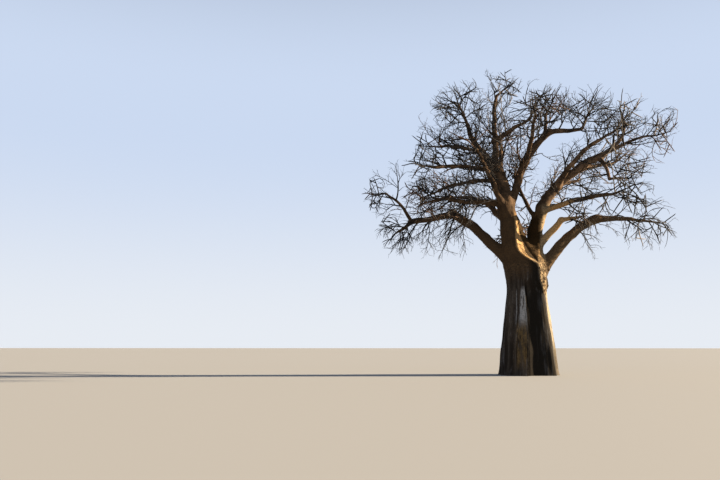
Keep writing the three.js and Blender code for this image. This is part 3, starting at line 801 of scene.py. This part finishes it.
# where each form begins and is full, as for the bark's patches
reliefEdges = {
    "trunkTop": (8.2, 6.2), "trunkSide": (2.6, 1.7), "lower": (6.0, 3.6), "wrinkles": (4.8, 6.0),
    "front": (0.1, -0.3), "knobs": (-0.05, 0.1), "knobsHeight": (4.4, 5.0, 6.9, 6.3),
    "ridgeHeight": (4.5, 5.0, 9.6, 8.8), "slopeHeight": (6.3, 6.9, 8.8, 8.2),
}
# the ridge right of the crest line, the sharper crease left of it, and the slope at its right with the
# depth that it falls and the width over which the bark comes back out
crestRidge = {
    "rise": 0.09, "width": 0.1, "off": 0.06, "crease": 0.04, "sharper": 1.6, "slope": 0.35, "fall": 0.2,
    "back": 0.3,
}


def trunkRadius(height, heading):
    fall = 0.5 + 0.5 * np.cos(math.pi * np.clip(height / trunk["waist"], 0, 1))
    swell = np.clip((height - trunk["waist"]) / (trunk["top"] - trunk["waist"]), 0, None)
    even = (trunk["waistRadius"] + (trunk["footRadius"] - trunk["waistRadius"]) * fall
            + (trunk["forkRadius"] - trunk["waistRadius"]) * swell)
    foot = trunk["flare"] * np.exp(-np.maximum(height, 0) / trunk["flareHeight"])
    depth = 1 - (1 - foldSet["left"]) * np.clip(height / trunk["waist"], 0, 1)
    fold = sum(share * np.cos(count * (heading - math.radians(begin))) for count, share, begin in folds)
    dome = np.clip((height - trunk["top"] + trunk["domeHeight"]) / trunk["domeHeight"], 0, 1)
    narrowing = np.sqrt(1 - trunk["domeInset"] * dome ** 2)
    return (even * (1 + fold * depth) + foot * (1 + foldSet["flare"] * fold)) * narrowing


# each limb's curve, crooked, and each mass's stem as far as it is thick enough to carry bark
woodPaths = []
for limb in limbs.values():
    path, shares = smoothPath(limb["points"], math.ceil(limb["length"] / wood["pathStep"]))
    even = limb["radius"][0] + (limb["radius"][1] - limb["radius"][0]) * shares
    swell = wood["endSwell"] if limb["at"] > wood["tipChild"] and limb["parent"] != "trunk" else 1
    woodPaths.append({"name": limb["name"], "path": crooked(path),
                      "girth": even + (limbRadius(limb, shares) - even) * swell,
                      "blend": min(limb["radius"][0] * wood["blendShare"], wood["blendMost"])})
for flank in flanks:
    path, shares = smoothPath(np.array(flank["path"]), wood["flankSteps"])
    last = len(flank["girth"]) - 1
    girth = np.interp(shares * last, range(last + 1), flank["girth"])
    woodPaths.append({"name": "stem_left", "path": path, "girth": girth, "blend": flank["blend"]})
for mass in masses:
    stem = mass["twigs"][0]
    path, shares = smoothPath(stem["points"], wood["stemSteps"])
    girth = twigRadius(stem["foot"], shares)
    keep = max(2, int(np.sum(girth > wood["stemEnd"])))
    mass["stemKept"] = shares[keep - 1]
    woodPaths.append({
        "name": mass["limb"], "path": crooked(path)[:keep], "girth": girth[:keep] * wood["stemSwell"],
        "blend": stem["foot"] * wood["blendShare"]})
for each in woodPaths:
    reach = each["girth"].max() + wood["around"]
    each["low"], each["high"] = each["path"].min(axis=0) - reach, each["path"].max(axis=0) + reach
    each["blend"] = max(each["blend"], wood["blendLeast"])


def smoothLeast(a, b, blend):
    near = np.clip(1 - np.abs(a - b) / blend, 0, 1)
    return np.minimum(a, b) - near * near * blend / 4


# how far points lie outside the wood, which limb they lie on (0 is the trunk) and its radius there
def woodDistance(points):
    x = points[:, 0] - trunk["lean"] * points[:, 2] / trunk["top"]
    y, z = points[:, 1], points[:, 2]
    side = np.hypot(x, y) - trunkRadius(z, np.arctan2(y, x))
    lid = (z - wood["lidTop"] + wood["lidFall"] * (x * x + y * y)) * wood["lidSlope"]
    best = -smoothLeast(-side, -lid, wood["lidBlend"])
    owner = np.zeros(len(points), int)
    girth = np.full(len(points), trunk["waistRadius"])
    for index, each in enumerate(woodPaths, 1):
        near = np.nonzero(np.all((points > each["low"]) & (points < each["high"]), axis=1))[0]
        if not len(near):
            continue
        here = points[near]
        least = np.full(len(near), huge)
        radius = np.zeros(len(near))
        for row in range(len(each["path"]) - 1):
            start, way = each["path"][row], each["path"][row + 1] - each["path"][row]
            share = np.clip((here - start) @ way / (way @ way), 0, 1)
            thick = each["girth"][row] * (1 - share) + each["girth"][row + 1] * share
            gap = np.linalg.norm(here - start - share[:, None] * way, axis=1) - thick
            radius = np.where(gap < least, thick, radius)
            least = np.minimum(least, gap)
        nearer = least < best[near]
        owner[near[nearer]] = index
        girth[near[nearer]] = radius[nearer]
        best[near] = smoothLeast(best[near], least, each["blend"])
    return best, owner, girth


def grain(points, form):
    scale, shift = reliefNoises[form]
    return np.array([noise.noise(Vector(point)) for point in points * np.array(scale) + shift])


# as a shader value's step, for arrays
def fade(values, low, high, *ending):
    share = np.clip((values - low) / (high - low), 0, 1)
    risen = share * share * (3 - 2 * share)
    return risen * fade(values, *ending) if ending else risen


def within(values, form):
    return fade(values, *reliefEdges[form])


def atLeast(values, least):
    return least + (1 - least) * values


# how far points lie in the hollow right of the fold down the front, whatever their height
def inFold(turn, z):
    turn = np.degrees(turn) - frontFold["sway"] * np.cos(frontFold["pace"] * (z - frontFold["middle"]))
    wall = fade(turn, frontFold["at"], frontFold["at"] + frontFold["wall"])
    return wall * fade(turn, frontFold["until"], frontFold["back"])


# the ridge along the crest line and the crease down its left side; between the crest line and the gap
# line the bark slopes away to the right
def ridgeAt(x, y, z, overCrest):
    onFront = within(y, "front")
    width, off = crestRidge["width"], crestRidge["off"]
    ridge = np.exp(-((overCrest - off) / width) ** 2) * crestRidge["rise"]
    ridge -= np.exp(-((overCrest + off) / width * crestRidge["sharper"]) ** 2) * crestRidge["crease"]
    ridge *= within(z, "ridgeHeight") * onFront
    overGap = x - np.interp(z, *np.array(gapLine).T)
    slope = crestRidge["slope"] * np.clip(overCrest, 0, None)
    slope = np.minimum(slope, crestRidge["fall"]) * fade(overGap, crestRidge["back"], 0)
    return ridge - slope * within(z, "slopeHeight") * onFront


# the bark's relief: upright flutes and ribs on the trunk, wrinkles at the fork, lumps on the boughs
def reliefAt(points, girth):
    x, y, z = points.T
    onTrunk = within(z, "trunkTop") * within(np.hypot(x, y), "trunkSide")
    lower = within(z, "lower")
    turn = np.arctan2(y, x)
    ring = np.stack([np.cos(turn), np.sin(turn), z], axis=1)
    fold, foldHeight = inFold(turn, z), fade(z, frontFold["top"], frontFold["full"])
    smooth = 1 - relief["foldSmooth"] * fold * foldHeight
    height = relief["flutes"] * atLeast(lower, relief["upperFlutes"]) * grain(ring, "flutes") * smooth
    height += relief["ribs"] * atLeast(lower, relief["upperRibs"]) * grain(ring, "ribs") * smooth
    height += relief["lumps"] * grain(points, "lumps")
    wrinkles = 1 - 2 * np.abs(grain(points, "wrinkles"))
    height -= relief["wrinkles"] * within(z, "wrinkles") * wrinkles
    overCrest = x - np.interp(z, *np.array(crestLine).T)
    knobby = within(overCrest, "knobs") * within(z, "knobsHeight")
    height += relief["knobs"] * knobby * (np.abs(grain(points, "knobs")) - relief["knobsFrom"])
    height -= foldHeight * frontFold["hollow"] * fold
    lumps = relief["boughLumps"] * girth * grain(points, "boughLumps")
    lumps += relief["boughGrain"] * girth * grain(points, "boughGrain")
    return height * onTrunk + lumps * (1 - onTrunk) + ridgeAt(x, y, z, overCrest)


def makeRoughBody():
    corners, faces = [], []
    heights = np.linspace(-wood["below"], trunk["top"], wood["columnRows"])
    columnPath = np.stack([trunk["lean"] * heights / trunk["top"], 0 * heights, heights], axis=1)
    girth = np.ones((1, len(heights)))
    column, columnFaces, _ = tubes(columnPath[None], girth, wood["columnSides"], True)
    body = column[:-2].copy()
    axis = np.repeat(columnPath, wood["columnSides"], axis=0)
    out = body - axis
    out[:, 2] = 0
    reach = trunkRadius(body[:, 2], np.arctan2(out[:, 1], out[:, 0]))
    body[:, :2] = axis[:, :2] + out[:, :2] * reach[:, None]
    corners.append(np.vstack([body, column[-2:]]))
    faces.append(columnFaces)
    for each in woodPaths:
        limbCorners, limbFaces, _ = tubes(each["path"][None], each["girth"][None], wood["limbSides"], True)
        faces.append(limbFaces + sum(len(c) for c in corners))
        corners.append(limbCorners)
    return meshOf("roughBody", np.concatenate(corners), np.concatenate(faces))


def remeshed(mesh, voxel):
    rough = linked("roughBody", mesh)
    modifier = rough.modifiers.new("skin", "REMESH")
    modifier.mode, modifier.voxel_size = "VOXEL", voxel
    bpy.context.view_layer.update()
    skin = bpy.data.meshes.new_from_object(rough.evaluated_get(bpy.context.evaluated_depsgraph_get()))
    bpy.data.objects.remove(rough)
    bpy.data.meshes.remove(mesh)
    return skin


def cornersOf(mesh, what="co"):
    values = np.empty(len(mesh.vertices) * 3, np.float32)
    mesh.vertices.foreach_get(what, values)
    return values.reshape(-1, 3).astype(float)


def moveCorners(mesh, corners):
    mesh.vertices.foreach_set("co", corners.astype(np.float32).ravel())
    mesh.update()


def makeWood():
    skin = remeshed(makeRoughBody(), wood["voxel"])
    print("remeshed the wood:", len(skin.vertices), "corners")
    for draw in range(wood["draws"]):
        corners = cornersOf(skin)
        gap, owner, girth = woodDistance(corners)
        gap = np.clip(gap, -wood["farthestDraw"], wood["farthestDraw"])
        moveCorners(skin, corners - cornersOf(skin, "normal") * gap[:, None])
    corners = cornersOf(skin)
    moveCorners(skin, corners + cornersOf(skin, "normal") * reliefAt(corners, girth)[:, None])
    # the flat cut at the ground
    work = bmesh.new()
    work.from_mesh(skin)
    label = work.verts.layers.int.new("owner")
    for vert, limb in zip(work.verts, owner):
        vert[label] = int(limb)
    cut = bmesh.ops.bisect_plane(
        work, geom=work.verts[:] + work.edges[:] + work.faces[:], dist=wood["cutReach"],
        plane_co=(0, 0, 0), plane_no=(0, 0, 1), clear_inner=True)
    rim = [edge for edge in cut["geom_cut"] if isinstance(edge, bmesh.types.BMEdge)]
    bmesh.ops.contextual_create(work, geom=rim)
    bmesh.ops.triangulate(work, faces=work.faces[:])
    for vert in work.verts:
        vert.co.z = max(vert.co.z, 0)
    work.to_mesh(skin)
    work.free()
    return skin


# the trunk with the five limbs that leave it, and the other boughs at the left and at the right
def splitWood(skin):
    corners = cornersOf(skin)
    normals = cornersOf(skin, "normal")
    owner = np.empty(len(corners), np.int32)
    skin.attributes["owner"].data.foreach_get("value", owner)
    faces = np.empty(len(skin.polygons) * 3, np.int32)
    skin.loops.foreach_get("vertex_index", faces)
    faces = faces.reshape(-1, 3)
    names = ["trunk"] + [each["name"] for each in woodPaths]
    mainNames = ["trunk"] + [limb["name"] for limb in limbs.values() if limb["parent"] == "trunk"]
    leftNames = [limb["name"] for limb in limbs.values()
                 if limb["name"] not in mainNames and limb["points"][-1][0] < wood["leftUntil"]]
    rightNames = [name for name in limbs if name not in mainNames + leftNames]
    group = np.array([0 if name in mainNames else 1 if name in leftNames else 2 for name in names])
    faceGroup = group[owner[faces[:, 0]]]
    for index, (pieceName, nodes) in enumerate([
            ("trunk_bark", mainNames), ("left_bough_bark", leftNames), ("right_bough_bark", rightNames)]):
        chosen = faces[faceGroup == index]
        used, packed = np.unique(chosen, return_inverse=True)
        mesh = meshOf(pieceName, corners[used], packed.reshape(-1, 3))
        mesh.normals_split_custom_set_from_vertices(normals[used])
        addPiece(pieceName, mesh, nodes, [barkMaterial])
        print(pieceName, len(chosen), "triangles")
    bpy.data.meshes.remove(skin)


splitWood(makeWood())

# The fine twigs, on from the boughs and the coarse twigs

# the side branches along the boughs, and then the three finer orders of twigs, a value for each
twigKinds = {
    "every": (0.47, 0.4, 0.27, 0.27),         # metres apart on what carries them
    "from": (0.0, 0.12, 0.15, 0.25),          # and from what share of it
    "length": (2.6, 1.5, 0.8, 0.36),
    "range": (0.35, 0.45, 0.45, 0.45),        # of the length, to both sides
    "bends": (10, 7, 5, 3),
    "foot": (0.06, 0.034, 0.024, 0.016),      # the radius there, at most
    "left": (0.3, 0.5, 0.6, 0.6),             # how little of it is left before the tip
    "spread": (52, 46, 44, 44),               # degrees off what carries them
    "spreadRange": (22, 18, 20, 22),
    "wander": (0.06, 0.08, 0.1, 0.1),
    "curl": (6, 8, 12, 14),                   # degrees a bend
    "arch": (0.12, 0.12, 0.1, 0.05),
    "level": (0.08, 0.08, 0.06, 0.0),         # how fast they level out
    "outward": (0.05, 0.04, 0.04, 0.04),      # how they turn away from the crown's middle
    "lift": (0.02, 0.02, 0.02, 0.02),         # how they rise, high in the crown
    "hang": (0.22, 0.18, 0.18, 0.2),          # and sink, low in it
    "sides": (5, 4, 3, 3),
}
branchlet, *fineLevels = [dict(zip(twigKinds, row)) for row in zip(*twigKinds.values())]
# for all of them: how they turn round what carries them, how far along it they stand, how long they are
# at its foot and how much shorter at its tip, and how thick on it
sproutRule = {
    "turn": 137.5, "turnRange": 70, "sideways": (0.13, 0.31, 0.94), "until": 0.985, "longest": 1.2,
    "shorter": 0.5, "curlLeast": 0.4, "archTurn": 2.2, "thick": 0.8, "thickLeast": 0.65, "inside": 0.015,
}
coarseLook = {
    "leastRadius": 0.034, "tip": 0.35, "sides": (8, 6, 4), "steps": (14, 8, 5), "underBark": 0.9,
    "carrierSteps": 8,
}
crown = {"middle": (0.0, 0.2, 10.0), "hangBelow": 8.8, "riseAbove": 11.0}


def pointedRadii(foot, rows, left):
    shares = np.linspace(0, 1, rows)
    profile = 1 - (1 - left) * shares / shares[-2] if rows > 2 else 1 - shares
    profile[-1] = 0
    return foot[:, None] * profile


# twigs that start and head out as given, as points from foot to tip: they curl, wander and arch, turn
# outwards, level out, and rise or, low in the crown, hang
def bentTwigs(start, heading, length, kind, random):
    risen = fade(start[:, 2], crown["hangBelow"], crown["riseAbove"])
    lift = kind["lift"] * risen - kind["hang"] * (1 - risen)
    curlAxis = unit(np.cross(heading, random.normal(size=heading.shape)))
    curl = kind["curl"] * atLeast(random.random(len(start)), sproutRule["curlLeast"])
    points = [start]
    for bend in range(kind["bends"]):
        outward = unit(points[-1] - np.array(crown["middle"]))
        heading = turned(heading, curlAxis, curl)
        heading = heading + kind["wander"] * random.normal(size=heading.shape) + kind["outward"] * outward
        arch = kind["arch"] * (1 - sproutRule["archTurn"] * bend / kind["bends"])
        heading[:, 2] = heading[:, 2] * (1 - kind["level"]) + lift + arch
        heading = unit(heading)
        points.append(points[-1] + heading * (length / kind["bends"])[:, None])
    return np.stack(points, axis=1)


# twigs of one kind along paths, which is (carriers, rows, 3) with radii (carriers, rows)
def sproutOn(paths, radii, sprays, kind, random):
    lengths = np.linalg.norm(np.diff(paths, axis=1), axis=2).sum(axis=1)
    counts = np.maximum(1, np.round(lengths * (1 - kind["from"]) / kind["every"]).astype(int))
    carrier = np.repeat(np.arange(len(paths)), counts)
    count = len(carrier)
    place = np.concatenate([np.arange(n) for n in counts])
    step = (1 - kind["from"]) / np.repeat(counts, counts)
    share = np.clip(kind["from"] + step * (place + random.random(count)), 0, sproutRule["until"])
    rows = paths.shape[1] - 1
    row = np.minimum((share * rows).astype(int), rows - 1)
    part = share * rows - row
    way = paths[carrier, row + 1] - paths[carrier, row]
    start = paths[carrier, row] + way * part[:, None]
    way = unit(way)
    roll = sproutRule["turn"] * np.arange(count) + sproutRule["turnRange"] * random.random(count)
    side = turned(unit(np.cross(way, sproutRule["sideways"])), way, roll)
    spread = kind["spread"] + kind["spreadRange"] * (2 * random.random(count) - 1)
    length = kind["length"] * (1 + kind["range"] * (2 * random.random(count) - 1))
    length = length * (sproutRule["longest"] - sproutRule["shorter"] * share)
    points = bentTwigs(start, turned(way, side, spread), length, kind, random)
    radius = radii[carrier, row] * (1 - part) + radii[carrier, row + 1] * part
    foot = np.clip(radius * sproutRule["thick"], kind["foot"] * sproutRule["thickLeast"], kind["foot"])
    return points, pointedRadii(foot, points.shape[1], kind["left"]), sprays[carrier]


def inBox(points):
    low, high = innerBox(sproutRule["inside"])
    return np.all((points > low) & (points < high), axis=(1, 2))


def inBall(mass, points):
    away = np.linalg.norm(points - mass["centre"], axis=2).max(axis=1)
    return inBox(points) & (away < twigRule["ballRadius"] * mass["reach"])


# one piece's twigs, heaped up as they grow, with a shade for each spray
class TwigHeap:
    def __init__(self, random):
        self.corners, self.faces, self.shades, self.count = [], [], [], 0
        self.random = random
        often = list(twigLook["often"].values())
        self.shadeOf = random.choice(len(often), size=twigLook["sprays"], p=often)

    def add(self, points, radii, sprays, sides):
        corners, faces, tube = tubes(points, radii, sides)
        self.faces.append(faces + self.count)
        self.corners.append(corners)
        self.shades.append(self.shadeOf[sprays[tube] + 1])
        self.count += len(corners)

    def addLevels(self, paths, radii, sprays, kinds, keep):
        for kind in kinds:
            points, made, owner = sproutOn(paths, radii, sprays, kind, self.random)
            kept = keep(points)
            if not kept.any():
                return
            paths, radii, sprays = points[kept], made[kept], owner[kept]
            self.add(paths, radii, sprays, kind["sides"])

    def piece(self, name, nodes):
        faces = np.concatenate(self.faces)
        mesh = meshOf(name, np.concatenate(self.corners), faces, np.concatenate(self.shades))
        addPiece(name, mesh, nodes, twigMaterials)
        print(name, len(faces), "triangles")
        return len(faces)


def growMassTwigs(mass):
    heap = TwigHeap(np.random.default_rng(mass["seed"]))
    steps = coarseLook["carrierSteps"]
    paths, radii, sprays = [], [], []
    for twig in mass["twigs"]:
        level = twig["level"]
        path, shares = smoothPath(twig["points"], coarseLook["steps"][level])
        path = crooked(path)
        girth = np.maximum(twigRadius(twig["foot"], shares),
                           coarseLook["leastRadius"] * (1 - coarseLook["tip"] * shares))
        if level == 0:
            girth = girth * np.where(shares < mass["stemKept"], coarseLook["underBark"], 1)
        girth[-1] = 0
        heap.add(path[None], girth[None], np.array([twig["spray"]]), coarseLook["sides"][level])
        paths.append(smoothPath(path, steps)[0])
        radii.append(np.interp(np.linspace(0, 1, steps + 1), shares, girth))
        sprays.append(twig["spray"])
    kinds = [dict(fineLevels[0], every=fineLevels[0]["every"] * mass["spacing"])] + fineLevels[1:]
    heap.addLevels(np.array(paths), np.array(radii), np.array(sprays), kinds,
                   lambda points: inBall(mass, points))
    return heap.piece(mass["name"] + "_fine", [mass["name"]])


total = sum(growMassTwigs(mass) for mass in masses)
print("grew the masses' twigs:", total, "triangles")

# side branches along the boughs: from what share of each bough, no lower than the skirt, and longer on
# thicker boughs; each side's range along x, and how much further apart they stand there
boughTwigs = {
    "from": 0.24, "fromThick": {"stem_left": 0.52, "stem_right": 0.7, "bough_left_low": 0.58,
                                "bough_right_low": 0.58, "bough_back_low": 0.5, "stub_right": 0.55},
    "skirt": 6.7, "skirtNear": 9.2, "nearTrunk": 3.2, "perGirth": 3.0, "thinTip": 0.06, "least": 1.2,
    "most": 2.3, "steps": 40, "sprays": 12, "seed": 11, "denser": {"bough_left_low": 0.36},
    "sides": {"left": (-99, -1.9, 0.85), "middle": (-1.9, 2.2, 1.4), "right": (2.2, 99, 1.8)},
}


def aboveSkirt(points):
    near = np.hypot(points[..., 0], points[..., 1]) < boughTwigs["nearTrunk"]
    floor = np.where(near, boughTwigs["skirtNear"], boughTwigs["skirt"])
    return inBox(points) & np.all(points[..., 2] > floor, axis=1)


def growBoughTwigs(name, chosen, seed, sparser):
    random = np.random.default_rng(seed)
    heap = TwigHeap(random)
    for number, each in enumerate(chosen):
        begin = boughTwigs["fromThick"].get(each["name"], boughTwigs["from"])
        path, shares = smoothPath(each["path"], boughTwigs["steps"])
        girth = np.interp(shares, np.linspace(0, 1, len(each["girth"])), each["girth"])
        first = int(begin * boughTwigs["steps"])
        every = branchlet["every"] * sparser * boughTwigs["denser"].get(each["name"], 1)
        length = boughTwigs["least"] + boughTwigs["perGirth"] * max(girth[-1] - boughTwigs["thinTip"], 0)
        kind = dict(branchlet, every=every, length=min(length, boughTwigs["most"]))
        points, made, _ = sproutOn(path[None, first:], girth[None, first:], np.array([0]), kind, random)
        kept = aboveSkirt(points)
        if not kept.any():
            continue
        points, made = points[kept], made[kept]
        sprays = boughTwigs["sprays"] * number + np.arange(len(points)) % boughTwigs["sprays"]
        heap.add(points, made, sprays, kind["sides"])
        heap.addLevels(points, made, sprays, fineLevels, aboveSkirt)
    return heap.piece(name, [])


ownPaths = woodPaths[:len(limbs)]
total = 0
for number, (side, (low, high, sparser)) in enumerate(boughTwigs["sides"].items()):
    chosen = [each for each in ownPaths if low <= each["path"][-1][0] < high]
    total += growBoughTwigs("bough_twigs_" + side, chosen, boughTwigs["seed"] + number, sparser)
print("grew the boughs' twigs:", total, "triangles")

# Floor and light

stageSet = {
    "floor": (0.27, 0.275, 0.275), "floorSize": 900, "floorRough": 0.9, "floorSpecular": 0.05,
    "horizon": (0.8, 0.84, 0.9), "sky": (0.6, 0.7, 0.88), "zenith": (0.1, 0.13, 0.2),
    "skyFull": 0.3, "zenithFrom": 0.35, "zenithFull": 0.8,
    "sun": (1.0, 0.8, 0.56), "sunStrength": 23, "sunSoft": 1.5, "sunHeading": 17, "sunRise": 16,
    "fill": (0.85, 0.92, 1.0), "fillStrength": 0.15, "fillSoft": 60, "fillHeading": 235, "fillRise": 35,
}


# a pale sky that darkens towards the top, which the camera doesn't see
def makeSky():
    world = bpy.data.worlds.new("paleSky")
    sky = Finish(world)
    way = sky.node("ShaderNodeTexCoord", {}, {})
    rise = sky.node("ShaderNodeSeparateXYZ", {}, {0: way}, 2)
    colour = sky.mix(rise.step(0, stageSet["skyFull"]), stageSet["horizon"], stageSet["sky"])
    colour = sky.mix(rise.step(stageSet["zenithFrom"], stageSet["zenithFull"]), colour, stageSet["zenith"])
    sky.set(Color=colour)
    return world


def setStage():
    corners = np.array([(-1, -1, 0), (1, -1, 0), (1, 1, 0), (-1, 1, 0)], float) * stageSet["floorSize"]
    floor = linked("floor", meshOf("floor", corners, np.array([(0, 1, 2), (0, 2, 3)])))
    paleFloor = bpy.data.materials.new("paleFloor")
    Finish(paleFloor).set(Base_Color=stageSet["floor"], Roughness=stageSet["floorRough"],
                          Specular_IOR_Level=stageSet["floorSpecular"])
    floor.data.materials.append(paleFloor)
    bpy.context.scene.world = makeSky()
    for name in ("sun", "fill"):
        light = bpy.data.lights.new(name, "SUN")
        light.color, light.energy = stageSet[name], stageSet[name + "Strength"]
        light.angle = math.radians(stageSet[name + "Soft"])
        lamp = linked(name, light)
        lamp.rotation_mode = "QUATERNION"
        toLight = Vector(direction(stageSet[name + "Heading"], stageSet[name + "Rise"]))
        lamp.rotation_quaternion = toLight.to_track_quat("Z", "Y")
    bpy.context.scene.view_settings.view_transform = "Standard"


setStage()
